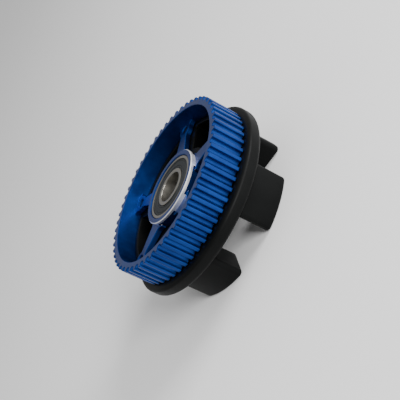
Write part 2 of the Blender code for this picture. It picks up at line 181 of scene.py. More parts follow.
# %% [markdown]
# ## Tools for materials
#
# Colours are written as sRGB hex values, as a paint chart gives them, and turned to linear light once.
# One helper adds a node with its settings and its links. Patterns are placed by object coordinates,
# which are metres here, so that a scale can be worked out from a size in millimetres.


# %% Material helpers
def linear(hex_colour):
    """sRGB hex to linear RGBA."""
    channels = [int(hex_colour[k : k + 2], 16) / 255 for k in (1, 3, 5)]
    return (*[c / 12.92 if c <= 0.04045 else ((c + 0.055) / 1.055) ** 2.4 for c in channels], 1.0)


def new_material(name, colour, metallic, roughness, **sockets):
    """A Principled material with constant finish values, and its node tree for adding to."""
    material = bpy.data.materials.new(name)
    material.use_nodes = True
    shader = material.node_tree.nodes["Principled BSDF"]
    shader.inputs["Base Color"].default_value = linear(colour)
    shader.inputs["Metallic"].default_value = metallic
    shader.inputs["Roughness"].default_value = roughness
    for socket, value in sockets.items():
        shader.inputs[socket.replace("_", " ")].default_value = value
    return material


def add(material, kind, links=(), **settings):
    """Add one node. links maps an input to (node, output); other settings are inputs or properties."""
    node = material.node_tree.nodes.new(kind)
    for name, value in settings.items():
        if hasattr(node, name):
            setattr(node, name, value)
        else:
            node.inputs[name.replace("_", " ")].default_value = value
    for target, (source, output) in dict(links).items():
        material.node_tree.links.new(source.outputs[output], node.inputs[target])
    return node


def feed(material, socket, node, output):
    shader = material.node_tree.nodes["Principled BSDF"]
    material.node_tree.links.new(node.outputs[output], shader.inputs[socket])


def per_metre(spacing_mm):
    """Texture scale that repeats every so many millimetres."""
    return 1000 / spacing_mm


print("mid grey in linear light:", [round(c, 3) for c in linear("#808080")])

# %% [markdown]
# ## Blue anodised aluminium
#
# Anodising grows a clear oxide a few hundredths of a millimetre thick, and the dye sits in it. So the
# colour belongs to the metal's own reflection, while a thin glassy layer on top shows white where the
# surface is seen at a low angle. Turning leaves fine rings on the faces: at a feed of 0.15 mm they are too
# fine to show, so they are drawn 0.6 mm apart and faint.


# %% Blue anodised aluminium
def add_turned_rings(material, spacing_mm, strength, depth_mm):
    """Fine concentric tool marks round the bore's axis, as bump. Returns the wave node."""
    coordinates = add(material, "ShaderNodeTexCoord")
    wave = add(
        material,
        "ShaderNodeTexWave",
        {"Vector": (coordinates, "Object")},
        wave_type="RINGS",
        rings_direction="Z",
        Scale=per_metre(spacing_mm) / 20 * math.tau,
        Distortion=0.4,
        Detail=1.0,
    )
    height = {"Height": (wave, "Fac")}
    bump = add(material, "ShaderNodeBump", height, Strength=strength, Distance=depth_mm * MM)
    feed(material, "Normal", bump, "Normal")
    return wave


def vary(material, socket, spacing_mm, low, high, detail=3.0):
    """Let a finish value drift a little over the surface, as handling and the bath leave it."""
    coordinates = add(material, "ShaderNodeTexCoord")
    noise = add(
        material,
        "ShaderNodeTexNoise",
        {"Vector": (coordinates, "Object")},
        Scale=per_metre(spacing_mm),
        Detail=detail,
    )
    spread = add(
        material,
        "ShaderNodeMapRange",
        {"Value": (noise, "Fac")},
        From_Min=0.3,
        From_Max=0.7,
        To_Min=low,
        To_Max=high,
    )
    feed(material, socket, spread, "Result")
    return noise


def blend_colour(material, noise, dark, light):
    """Base colour that follows a noise between two hex colours."""
    ramp = add(material, "ShaderNodeValToRGB", {"Fac": (noise, "Fac")})
    ramp.color_ramp.elements[0].position = 0.35
    ramp.color_ramp.elements[0].color = linear(dark)
    ramp.color_ramp.elements[1].position = 0.65
    ramp.color_ramp.elements[1].color = linear(light)
    feed(material, "Base Color", ramp, "Color")


oxide = {"Coat_Weight": 0.15, "Coat_Roughness": 0.35}
blue_anodised = new_material("blue_anodised_aluminium", "#103679", 1.0, 0.42, **oxide)
add_turned_rings(blue_anodised, 0.6, 0.12, 0.02)
blend_colour(blue_anodised, vary(blue_anodised, "Roughness", 9.0, 0.38, 0.46), "#0E3070", "#123C82")
print(blue_anodised.name, len(blue_anodised.node_tree.nodes), "nodes")

# %% [markdown]
# ## Bright turned aluminium
#
# The hub's collar was turned after anodising, so its band is bare metal: silver, with fine turning lines.

# %% Bright turned aluminium
bare_aluminium = new_material("bright_turned_aluminium", "#F2F2F4", 1.0, 0.5)
coordinates = add(bare_aluminium, "ShaderNodeTexCoord")
lines = add(
    bare_aluminium,
    "ShaderNodeTexWave",
    {"Vector": (coordinates, "Object")},
    bands_direction="Z",
    Scale=per_metre(0.3) / 20 * math.tau,
    Distortion=0.3,
)
line_height = {"Height": (lines, "Fac")}
fine_lines = add(bare_aluminium, "ShaderNodeBump", line_height, Strength=0.15, Distance=0.01 * MM)
feed(bare_aluminium, "Normal", fine_lines, "Normal")
vary(bare_aluminium, "Roughness", 4.0, 0.45, 0.55)
print(bare_aluminium.name, len(bare_aluminium.node_tree.nodes), "nodes")

# %% [markdown]
# ## Black glass-filled nylon
#
# The adapter is injection moulded. The mould was spark eroded, which leaves an even matt grain of about a
# tenth of a millimetre, drawn here at 0.5 mm. Glass fibre near the surface makes it a little cloudy. Its
# index of refraction alone would leave it greyer than the real part, so the specular level is lowered.

# %% Black glass-filled nylon
nylon = new_material("black_glass_filled_nylon", "#0B0C0D", 0.0, 0.5, IOR=1.53, Specular_IOR_Level=0.08)
blend_colour(nylon, vary(nylon, "Roughness", 14.0, 0.44, 0.56), "#050606", "#090A0A")
grain_place = add(nylon, "ShaderNodeTexCoord")
grain_vector = {"Vector": (grain_place, "Object")}
grain = add(nylon, "ShaderNodeTexNoise", grain_vector, Scale=per_metre(0.5), Detail=2.0)
grain_bump = add(nylon, "ShaderNodeBump", {"Height": (grain, "Fac")}, Strength=0.25, Distance=0.03 * MM)
feed(nylon, "Normal", grain_bump, "Normal")
print(nylon.name, len(nylon.node_tree.nodes), "nodes")

# %% [markdown]
# ## Bearing steel, seal rubber and the rest
#
# Ground rings are grey and show faint circles. The seals are moulded nitrile rubber, matt and dark grey.
# Balls are polished, the cage is pressed from mild strip, the screws carry black oxide and the washers zinc.

# %% Bearing and fastener finishes
bearing_steel = new_material("ground_bearing_steel", "#85827B", 1.0, 0.34)
add_turned_rings(bearing_steel, 0.5, 0.04, 0.01)
vary(bearing_steel, "Roughness", 6.0, 0.31, 0.37)

rubber = new_material("nitrile_seal_rubber", "#16191B", 0.0, 0.62, IOR=1.52, Specular_IOR_Level=0.3)
blend_colour(rubber, vary(rubber, "Roughness", 2.5, 0.55, 0.7), "#14171A", "#1B1F21")
rubber_place = add(rubber, "ShaderNodeTexCoord")
rubber_grain = add(rubber, "ShaderNodeTexNoise", {"Vector": (rubber_place, "Object")}, Scale=per_metre(0.35))
grain_height = {"Height": (rubber_grain, "Fac")}
rubber_bump = add(rubber, "ShaderNodeBump", grain_height, Strength=0.2, Distance=0.02 * MM)
feed(rubber, "Normal", rubber_bump, "Normal")

ball_steel = new_material("polished_ball_steel", "#C9C8C4", 1.0, 0.08)
vary(ball_steel, "Roughness", 1.5, 0.06, 0.12)

cage_strip = new_material("pressed_steel_strip", "#B3AFA5", 1.0, 0.35)
blend_colour(cage_strip, vary(cage_strip, "Roughness", 2.0, 0.3, 0.42), "#A8A499", "#BDB9AF")

black_oxide = new_material("black_oxide_steel", "#2A2B2D", 1.0, 0.42)
blend_colour(black_oxide, vary(black_oxide, "Roughness", 1.6, 0.36, 0.5), "#262729", "#323336")

zinc = new_material("zinc_plated_steel", "#C2C5C9", 1.0, 0.3)
blend_colour(zinc, vary(zinc, "Roughness", 1.8, 0.24, 0.38), "#B9BCC0", "#CBCED2")
print("finishes so far:", [m.name for m in bpy.data.materials])

# %% [markdown]
# ## Tools for shapes
#
# Nearly every piece is either turned or is an outline carried along the bore. `turned` spins a profile.
# `loft` carries an outline through heights, moving it in or out along its own normals, so that one call
# makes a prism with broken edges, a rounded end and a root fillet. Both put the vertices straight in place.


# %% Shape helpers
def polar(radius, angle):
    return Vector((radius * math.cos(angle), radius * math.sin(angle)))


def finish_piece(name, bm, materials, smooth_angle=35):
    """Turn a bmesh into an object in the scene, faces out, shaded smooth up to an angle."""
    bmesh.ops.recalc_face_normals(bm, faces=bm.faces)
    mesh = bpy.data.meshes.new(name)
    bm.to_mesh(mesh)
    bm.free()
    for material in materials:
        mesh.materials.append(material)
    mesh.shade_smooth()
    mesh.set_sharp_from_angle(angle=math.radians(smooth_angle))
    piece = bpy.data.objects.new(name, mesh)
    bpy.context.scene.collection.objects.link(piece)
    return piece


def bridge(bm, rings, closed):
    """Join rings of equal length with quads, or with triangles to a ring of one."""
    pairs = list(zip(rings, rings[1:]))
    if closed:
        pairs.append((rings[-1], rings[0]))
    for lower, upper in pairs:
        for k in range(max(len(lower), len(upper))):
            around = [lower[k % len(lower)], lower[(k + 1) % len(lower)]]
            around += [upper[(k + 1) % len(upper)], upper[k % len(upper)]]
            bm.faces.new(list(dict.fromkeys(around)))


def turned(name, profile, segments, materials, centre=(0, 0)):
    """Spin a closed (radius, height) profile about a vertical axis. Radius 0 makes a pole."""
    bm = bmesh.new()
    rings = []
    for radius, height in profile:
        count = segments if radius > 0 else 1
        points = [polar(radius, math.tau * k / segments) for k in range(count)]
        rings.append([bm.verts.new((p.x + centre[0], p.y + centre[1], height)) for p in points])
    on_axis = profile[0][0] == 0 and profile[-1][0] == 0
    bridge(bm, rings, closed=not on_axis)
    return finish_piece(name, bm, materials)


def offset(outline, distance):
    """Move a closed counter-clockwise outline outwards by a distance, along its own normals."""
    moved = []
    for before, here, after in zip(outline[-1:] + outline[:-1], outline, outline[1:] + outline[:1]):
        into = (here - before).normalized()
        out_of = (after - here).normalized()
        normal = Vector((into.y + out_of.y, -into.x - out_of.x)).normalized()
        square = max(0.5, normal.dot(Vector((out_of.y, -out_of.x))))
        moved.append(here + normal * (distance / square))
    return moved


def loft(name, outline, stations, materials):
    """Carry an outline through (height, offset) stations and cap both ends."""
    bm = bmesh.new()
    rings = []
    for height, distance in stations:
        rings.append([bm.verts.new((p.x, p.y, height)) for p in offset(outline, distance)])
    bridge(bm, rings, closed=False)
    bm.faces.new(rings[0])
    bm.faces.new(rings[-1])
    return finish_piece(name, bm, materials)


def round_corners(corners, steps=6):
    """Replace each (point, radius) corner of a polygon with an arc tangent to its two sides."""
    points = []
    count = len(corners)
    for k, (here, radius) in enumerate(corners):
        if radius == 0:
            points.append(Vector(here))
            continue
        here = Vector(here)
        to_before = (Vector(corners[k - 1][0]) - here).normalized()
        to_after = (Vector(corners[(k + 1) % count][0]) - here).normalized()
        half = to_before.angle(to_after) / 2
        centre = here + (to_before + to_after).normalized() * (radius / math.sin(half))
        start = here + to_before * (radius / math.tan(half)) - centre
        end = here + to_after * (radius / math.tan(half)) - centre
        sweep = start.angle_signed(end)
        for step in range(steps + 1):
            turned_by = Matrix.Rotation(-sweep * step / steps, 2)
            points.append(centre + turned_by @ start)
    return points


def spin(piece, angle):
    piece.data.transform(Matrix.Rotation(angle, 4, "Z"))
    return piece


def combine(base, tools, operation):
    """Join or cut with exact Booleans and apply them."""
    for tool in tools:
        modifier = base.modifiers.new(tool.name, "BOOLEAN")
        modifier.operation = operation
        modifier.solver = "EXACT"
        modifier.object = tool
    bpy.context.view_layer.update()
    graph = bpy.context.evaluated_depsgraph_get()
    result = bpy.data.meshes.new_from_object(base.evaluated_get(graph))
    base.modifiers.clear()
    base.data = result
    for tool in tools:
        bpy.data.objects.remove(tool, do_unlink=True)
    result.shade_smooth()
    result.set_sharp_from_angle(angle=math.radians(35))
    return base


def open_edges(piece):
    bm = bmesh.new()
    bm.from_mesh(piece.data)
    found = sum(len(edge.link_faces) != 2 for edge in bm.edges)
    bm.free()
    return found


def settle(piece, slot, *nodes, body=FIXED):
    """Say what a finished piece rides on and stands for. The slot, its finish, is not used."""
    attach(piece, body)
    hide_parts(*nodes)
    print(f"{piece.name}: {len(piece.data.polygons)} faces, {open_edges(piece)} open edges")
    return piece


# %% [markdown]
# ## The pulley
#
# One piece of aluminium: a toothed rim, five tapered spokes that end in round screw bosses, and a hub. The
# belt grooves follow the round 5 mm profile, a circle of 1.49 mm radius at the bottom that runs into the
# flat land through a small tip radius. The rim is lofted in one go, with its edges broken by 0.25 mm.


# %% Toothed rim
TEETH = 56
GROOVE_DEPTH = 2.06 * MM
GROOVE_R = 1.49 * MM
TOOTH_TIP_R = 0.43 * MM
RIM_BORE_R = 39.6 * MM
TOOTH_PHASE = math.radians(0.88)
EDGE_BREAK = 0.25 * MM


def groove_half():
    """Half a groove as (sideways, depth) points, from its bottom to the land."""
    middle = GROOVE_DEPTH - GROOVE_R
    reach = GROOVE_R + TOOTH_TIP_R
    tip_x = math.sqrt(reach**2 - (middle - TOOTH_TIP_R) ** 2)
    meet = math.atan2(TOOTH_TIP_R - middle, tip_x)
    points = []
    for step in range(7):
        angle = math.pi / 2 + (meet - math.pi / 2) * step / 6
        points.append((GROOVE_R * math.cos(angle), middle + GROOVE_R * math.sin(angle)))
    for step in range(1, 4):
        angle = meet + math.pi + (math.pi / 2 - meet) * step / 3
        points.append((tip_x + TOOTH_TIP_R * math.cos(angle), TOOTH_TIP_R + TOOTH_TIP_R * math.sin(angle)))
    return points


def tooth_outline():
    """The whole belt face, counter-clockwise."""
    half = groove_half()
    groove = [(-x, depth) for x, depth in reversed(half)] + half[1:]
    outline = []
    for tooth in range(TEETH):
        centre = math.tau * tooth / TEETH + TOOTH_PHASE
        outline += [polar(TIP_R - depth, centre + x / TIP_R) for x, depth in groove]
        outline.append(polar(TIP_R, centre + math.pi / TEETH))
    return outline


belt_face = tooth_outline()
bore_face = [p.normalized() * RIM_BORE_R for p in belt_face]
bm = bmesh.new()
rings = []
for height, outline in (
    (RIM_BACK, offset(belt_face, -EDGE_BREAK)),
    (RIM_BACK + EDGE_BREAK, belt_face),
    (RIM_FRONT - EDGE_BREAK, belt_face),
    (RIM_FRONT, offset(belt_face, -EDGE_BREAK)),
    (RIM_FRONT, offset(bore_face, EDGE_BREAK)),
    (RIM_FRONT - EDGE_BREAK, bore_face),
    (RIM_BACK + EDGE_BREAK, bore_face),
    (RIM_BACK, offset(bore_face, EDGE_BREAK)),
):
    rings.append([bm.verts.new((p.x, p.y, height)) for p in outline])
bridge(bm, rings, closed=True)
pulley = finish_piece("toothed_pulley", bm, [blue_anodised, bare_aluminium])
print("teeth:", TEETH, " points round the belt face:", len(belt_face))

# %% [markdown]
# The spokes narrow from the hub to a neck, then open into the boss and a gusset on the rim. The window
# between them was milled, so the corners that the cutter left are round in plan.


# %% Spokes and hub
HUB_R = 18.2 * MM
COLLAR_R = 18.8 * MM
PAD_R = COLLAR_R - 0.1 * MM
SEAT_R = BEARING_R + 0.15 * MM
SHOULDER_R = 13.6 * MM
HUB_FRONT = below(4.3)
COLLAR_BACK = below(5.65)
SPOKE_FRONT = below(6.65)
SPOKE_BACK = below(9.3)
HUB_BACK = below(15.0)
SCREW_CIRCLE_R = 36.0 * MM
BOSS_R = 4.2 * MM
BOSS_HOLE_R = 2.1 * MM
ROOT_HALF = 4.4 * MM
NECK_HALF = 2.5 * MM
NECK_R = 31.0 * MM
GUSSET_HALF = 6.6 * MM
PAD_HALF_ANGLE = math.radians(13.5)


def spoke_half_width(radius):
    """Tapered arm, screw boss and gusset, whichever is widest."""
    taper = min(1, max(0, (radius - HUB_R) / (NECK_R - HUB_R)))
    arm = ROOT_HALF + (NECK_HALF - ROOT_HALF) * taper
    flare = 2.0 * MM * min(1, max(0, 1 - (radius - HUB_R) / (2.4 * MM))) ** 2.5
    past_boss = radius - SCREW_CIRCLE_R
    boss = math.sqrt(max(0, BOSS_R**2 - past_boss**2))
    spread = max(0, past_boss / (RIM_BORE_R - SCREW_CIRCLE_R))
    gusset = BOSS_R + (GUSSET_HALF - BOSS_R) * spread**2.5 if spread else 0
    return max(arm + flare, boss, gusset)


def make_spoke(index):
    steps = 60
    inner, outer = HUB_R - 0.8 * MM, RIM_BORE_R + 0.6 * MM
    radii = [inner + (outer - inner) * k / steps for k in range(steps + 1)]
    outline = [Vector((r, -spoke_half_width(r))) for r in radii]
    outline += [Vector((r, spoke_half_width(r))) for r in reversed(radii)]
    edge = 0.3 * MM
    stations = [(SPOKE_BACK, -edge), (SPOKE_BACK + edge, 0), (SPOKE_FRONT - edge, 0), (SPOKE_FRONT, -edge)]
    return spin(loft(f"spoke_{index}", outline, stations, []), SPOKE_ANGLES[index])


def make_pad(index):
    """The collar's band reaches down to the spoke over the width of the spoke."""
    steps = 12
    arc = [-PAD_HALF_ANGLE + 2 * PAD_HALF_ANGLE * k / steps for k in range(steps + 1)]
    outline = [polar(PAD_R, angle) for angle in arc]
    outline += [polar(HUB_R - 0.8 * MM, angle) for angle in reversed(arc)]
    top = (HUB_FRONT + COLLAR_BACK) / 2
    stations = [(SPOKE_FRONT - 0.5 * MM, 0), (top, 0)]
    return spin(loft(f"pad_{index}", outline, stations, []), SPOKE_ANGLES[index])


def make_boss_hole(index):
    """The tapped hole through a boss, with its mouth countersunk."""
    reach = 1.0 * MM
    mouth = 0.5 * MM
    profile = [
        (0, SPOKE_BACK - reach),
        (BOSS_HOLE_R, SPOKE_BACK - reach),
        (BOSS_HOLE_R, SPOKE_FRONT - mouth),
        (BOSS_HOLE_R + mouth + reach, SPOKE_FRONT + reach),
        (0, SPOKE_FRONT + reach),
    ]
    return turned(f"boss_hole_{index}", profile, 32, [], polar(SCREW_CIRCLE_R, SPOKE_ANGLES[index]))


HUB_EDGE = 0.35 * MM
hub_profile = [
    (HUB_R - HUB_EDGE, HUB_BACK),
    (HUB_R, HUB_BACK + HUB_EDGE),
    (HUB_R, COLLAR_BACK - 0.3 * MM),
    (COLLAR_R, COLLAR_BACK),
    (COLLAR_R, HUB_FRONT - HUB_EDGE),
    (COLLAR_R - HUB_EDGE, HUB_FRONT),
    (SEAT_R + HUB_EDGE, HUB_FRONT),
    (SEAT_R, HUB_FRONT - HUB_EDGE),
    (SEAT_R, BEARING_BACK - 0.15 * MM),
    (SHOULDER_R, BEARING_BACK - 0.15 * MM),
    (SHOULDER_R, HUB_BACK + HUB_EDGE),
    (SHOULDER_R + HUB_EDGE, HUB_BACK),
]
hub = turned("hub", hub_profile, 160, [])
combine(pulley, [make_spoke(k) for k in range(SPOKES)], "UNION")
combine(pulley, [hub], "UNION")
combine(pulley, [make_pad(k) for k in range(SPOKES)], "UNION")
combine(pulley, [make_boss_hole(k) for k in range(SPOKES)], "DIFFERENCE")
print("pulley after joining:", len(pulley.data.polygons), "faces")

# %% [markdown]
# The collar was turned bright after anodising. Its faces are the ones that stand further out than the hub
# and lie between its front and the spokes, so they can be found by where they are.

# %% Bright band on the collar
bright = 0
for face in pulley.data.polygons:
    radius = Vector(face.center[:2]).length
    sideways = abs(face.normal.z) < 0.95
    in_band = SPOKE_FRONT - 0.6 * MM < face.center.z < HUB_FRONT + 0.01 * MM
    face.material_index = int(sideways and in_band and HUB_R + 0.25 * MM < radius < COLLAR_R + 0.05 * MM)
    bright += face.material_index
settle(pulley, "blue_anodised_aluminium", "pulley")
print("bright faces:", bright)

# %% [markdown]
# ## The adapter
#
# A round flange guides the belt's rear edge. Ribs back up the spokes, and five hollow lugs stand out
# behind. Mouldings have no sharp edges: the flange is rounded, the lugs' corners and ends are rounded, and
# a fillet runs round each lug's root.

# %% Flange and lugs
SPIGOT_R = 39.3 * MM
SPIGOT_FRONT = adapter_high.z
FLANGE_FRONT = below(15.8)
FLANGE_BACK = below(22.5)
CENTRE_BORE_R = 18.5 * MM
CENTRE_WALL_R = 22.5 * MM
WINDOW_R = 37.0 * MM
WINDOW_FLOOR = below(19.5)
RIB_HALF = 6.5 * MM
LUG_R = 39.8 * MM
LUG_HALF_ANGLE = math.radians(20.5)
LUG_TAPER = math.radians(30)
LUG_INNER_R = 23.0 * MM
LUG_WALL = 3.0 * MM
LUG_END = adapter_low.z


def flange_profile():
    """The flange, the spigot inside the rim and the wall round the centre, as one turned ring."""
    front_round_r = 44.4 * MM
    full_depth = below(17.6)
    edge = 0.4 * MM
    profile = [(CENTRE_BORE_R, FLANGE_BACK + edge), (CENTRE_BORE_R, SPIGOT_FRONT - edge)]
    profile += [(CENTRE_BORE_R + edge, SPIGOT_FRONT), (SPIGOT_R - edge, SPIGOT_FRONT)]
    profile += [(SPIGOT_R, SPIGOT_FRONT - edge), (SPIGOT_R, FLANGE_FRONT)]
    for step in range(11):
        share = math.pi / 2 * step / 10
        radius = front_round_r + (FLANGE_R - front_round_r) * math.sin(share)
        profile.append((radius, full_depth + (FLANGE_FRONT - full_depth) * math.cos(share)))
    back_round = 2.0 * MM
    for step in range(9):
        share = math.pi / 2 * step / 8
        radius = FLANGE_R - back_round * (1 - math.cos(share))
        profile.append((radius, FLANGE_BACK + back_round * (1 - math.sin(share))))
    profile.append((CENTRE_BORE_R + edge, FLANGE_BACK))
    return profile


def lug_corners(wall, corner_r):
    """The lug's outline about +X: a round outer side between two flat flanks, corners rounded."""
    outer = LUG_R - wall
    corner = polar(LUG_R, LUG_HALF_ANGLE)
    slope = math.tan(LUG_TAPER)
    flank = corner.y - corner.x * slope - wall / math.cos(LUG_TAPER)
    square = 1 + slope**2
    x_out = (-flank * slope + math.sqrt(square * outer**2 - flank**2)) / square
    half_angle = math.atan2(flank + slope * x_out, x_out)
    x_in = LUG_INNER_R + wall
    y_in = flank + slope * x_in
    steps = 10
    arc = [-half_angle + 2 * half_angle * k / steps for k in range(steps + 1)]
    corners = [(polar(outer, angle), 0) for angle in arc]
    corners[0] = (corners[0][0], corner_r)
    corners[-1] = (corners[-1][0], corner_r)
    return corners + [(Vector((x_in, y_in)), corner_r), (Vector((x_in, -y_in)), corner_r)]


LUG_CORNER_R = 2.0 * MM
POCKET_CORNER_R = 0.8 * MM
LUG_OUTLINE = round_corners(lug_corners(0, LUG_CORNER_R))
POCKET_OUTLINE = round_corners(lug_corners(LUG_WALL, POCKET_CORNER_R))


def make_lug(index):
    """The end round stays smaller than the corner radius, or the corners would fold over themselves."""
    end_round = 1.5 * MM
    root = 1.0 * MM
    stations = []
    for step in range(6):
        share = math.pi / 2 * step / 5
        stations.append((LUG_END + end_round * (1 - math.cos(share)), -end_round * (1 - math.sin(share))))
    for step in range(5):
        share = math.pi / 2 * step / 4
        stations.append((FLANGE_BACK - root * (1 - math.sin(share)), root * (1 - math.cos(share))))
    stations.append((FLANGE_BACK + 1.5 * MM, root))
    return spin(loft(f"lug_{index}", LUG_OUTLINE, stations, []), LUG_ANGLES[index])


def make_pocket(index):
    floor_z = LUG_END + LUG_WALL
    stations = [(floor_z, -0.6 * MM), (floor_z + 0.6 * MM, 0), (WINDOW_FLOOR + 1.5 * MM, 0)]
    return spin(loft(f"pocket_{index}", POCKET_OUTLINE, stations, []), LUG_ANGLES[index])


def window_outline():
    """The opening between two ribs, about +X, its sides parallel to the spokes beside it."""
    outer_half = STEP / 2 - math.asin(RIB_HALF / WINDOW_R)
    inner_half = STEP / 2 - math.asin(RIB_HALF / CENTRE_WALL_R)
    steps = 24
    arc = [-outer_half + 2 * outer_half * k / steps for k in range(steps + 1)]
    corners = [(polar(WINDOW_R, angle), 0) for angle in arc]
    corners[0] = (corners[0][0], 1.0 * MM)
    corners[-1] = (corners[-1][0], 1.0 * MM)
    inner = [inner_half - 2 * inner_half * k / 8 for k in range(9)]
    return round_corners(corners + [(polar(CENTRE_WALL_R, angle), 0) for angle in inner])


def make_window(index):
    stations = [(WINDOW_FLOOR, -0.5 * MM), (WINDOW_FLOOR + 0.5 * MM, 0), (SPIGOT_FRONT - 0.4 * MM, 0)]
    stations += [(SPIGOT_FRONT + 1.0 * MM, 1.4 * MM)]
    return spin(loft(f"window_{index}", window_outline(), stations, []), LUG_ANGLES[index])


def make_counterbore(index):
    """A screw's clearance hole and the counterbore for its head."""
    floor_z = below(18.2)
    hole_r, bore_r, edge = 2.2 * MM, 4.8 * MM, 0.4 * MM
    profile = [
        (0, FLANGE_BACK - 1.0 * MM),
        (bore_r + edge + 1.0 * MM, FLANGE_BACK - 1.0 * MM),
        (bore_r, FLANGE_BACK + edge),
        (bore_r, floor_z),
        (hole_r, floor_z),
        (hole_r, SPIGOT_FRONT + 1.0 * MM),
        (0, SPIGOT_FRONT + 1.0 * MM),
    ]
    return turned(f"counterbore_{index}", profile, 40, [], polar(SCREW_CIRCLE_R, SPOKE_ANGLES[index]))


adapter = turned("lug_adapter", flange_profile(), 192, [nylon])
combine(adapter, [make_lug(k) for k in range(SPOKES)], "UNION")
combine(adapter, [make_window(k) for k in range(SPOKES)], "DIFFERENCE")
combine(adapter, [make_pocket(k) for k in range(SPOKES)], "DIFFERENCE")
combine(adapter, [make_counterbore(k) for k in range(SPOKES)], "DIFFERENCE")
settle(adapter, "black_moulded_nylon", "drive_adapter")

# %% [markdown]
# ## The bearing
#
# A sealed deep-groove ball bearing, 15 mm by 32 mm by 9 mm. Outside you see two ground rings and, between
# them, a rubber seal with a stepped face and a lip that runs on the inner ring. Inside are nine balls in a
# riveted ribbon cage. The rings' tracks and the hidden pieces are made too, since the part comes apart.

# %% Rings and seals
BORE_R = 7.5 * MM
BALL_R = 4.762 / 2 * MM
BALL_CIRCLE_R = 11.75 * MM
RACE_R = 2.48 * MM
OUTER_LAND_R = 13.6 * MM
INNER_LAND_R = 9.9 * MM
SEAL_GROOVE_R = 14.5 * MM
SEAL_LIP_R = 9.45 * MM
SEAL_RECESS = 1.0 * MM
RING_BREAK = 0.15 * MM
RING_ROUND = 0.35 * MM


def mirror_profile(half):
    """A half profile above the bearing's middle, completed with its mirror image."""
    upper = [(radius, BEARING_MID + rise) for radius, rise in half]
    lower = [(radius, BEARING_MID - rise) for radius, rise in reversed(half)]
    return upper + lower


def race(land_r, side):
    """The ball track, from near the bearing's middle out to the land."""
    steps = 8
    end = math.acos(abs(land_r - BALL_CIRCLE_R) / RACE_R)
    turns = [end * (step + 0.5) / (steps + 0.5) for step in range(steps + 1)]
    return [(BALL_CIRCLE_R + side * RACE_R * math.cos(t), RACE_R * math.sin(t)) for t in turns]


def rounded_edge(radius, rise, side):
    """A quarter round from the end face to the bore or the outside, turning towards side."""
    points = []
    for step in range(5):
        share = math.pi / 2 * step / 4
        across = RING_ROUND * (1 - math.sin(share))
        points.append((radius - side * across, rise - RING_ROUND * (1 - math.cos(share))))
    return points


half_width = (BEARING_FRONT - BEARING_BACK) / 2
recess_floor = half_width - SEAL_RECESS
break_start = half_width - RING_BREAK
outer_half = race(OUTER_LAND_R, 1)
outer_half += [(OUTER_LAND_R, recess_floor), (SEAL_GROOVE_R, recess_floor)]
outer_half += [(SEAL_GROOVE_R, break_start), (SEAL_GROOVE_R + RING_BREAK, half_width)]
outer_half += rounded_edge(BEARING_R, half_width, 1)
inner_half = race(INNER_LAND_R, -1)
inner_half += [(INNER_LAND_R, recess_floor), (SEAL_LIP_R, recess_floor)]
inner_half += [(SEAL_LIP_R, break_start), (SEAL_LIP_R - RING_BREAK, half_width)]
inner_half += rounded_edge(BORE_R, half_width, -1)
outer_ring = turned("bearing_outer_race", mirror_profile(outer_half), 160, [bearing_steel])
settle(outer_ring, "bearing_steel", "bearing_outer_ring")
inner_ring = turned("bearing_inner_race", mirror_profile(inner_half), 128, [bearing_steel])
settle(inner_ring, "bearing_steel", "bearing_inner_ring", body="inner_ring")


def make_seal(name, side, node):
    """A seal's stepped face: rim bead, flat, raised ring and lip. Side 1 faces the front."""
    outline = [
        (9.65, 0.95), (9.65, 0.45), (9.95, 0.3), (10.35, 0.3), (10.5, 0.45), (10.9, 0.45), (11.05, 0.25),
        (12.9, 0.25), (13.05, 0.4), (13.55, 0.4), (13.7, 0.22), (14.15, 0.22), (14.35, 0.4), (14.35, 0.95),
    ]
    face_z = BEARING_MID + side * half_width
    profile = [(radius * MM, face_z - side * depth * MM) for radius, depth in outline]
    return settle(turned(name, profile, 128, [rubber]), "seal_rubber", node)


make_seal("front_seal", 1, "bearing_seal_front")
make_seal("rear_seal", -1, "bearing_seal_rear")
print("bearing width, mm:", round(2 * half_width / MM, 2))

# %% Balls and cage
BALLS = 9
CAGE_SHEET = 0.4 * MM
CAGE_INNER_R = 10.6 * MM
CAGE_OUTER_R = 12.9 * MM
CAGE_CLEARANCE = 0.12 * MM
CAGE_SPLIT = 0.1 * MM
RIVET_HOLE_R = 0.46 * MM


def make_ball(index):
    """A quad sphere, so that a polished ball has no pinched poles."""
    bm = bmesh.new()
    bmesh.ops.create_cube(bm, size=1)
    bmesh.ops.subdivide_edges(bm, edges=bm.edges, cuts=7, use_grid_fill=True)
    centre = polar(BALL_CIRCLE_R, math.tau * index / BALLS).to_3d() + Vector((0, 0, BEARING_MID))
    for vertex in bm.verts:
        vertex.co = centre + vertex.co.normalized() * BALL_R
    name = f"ball_{index + 1}"
    ball = finish_piece(name, bm, [ball_steel])
    return settle(ball, "bearing_steel", f"bearing_{name}", body="cage_and_balls")


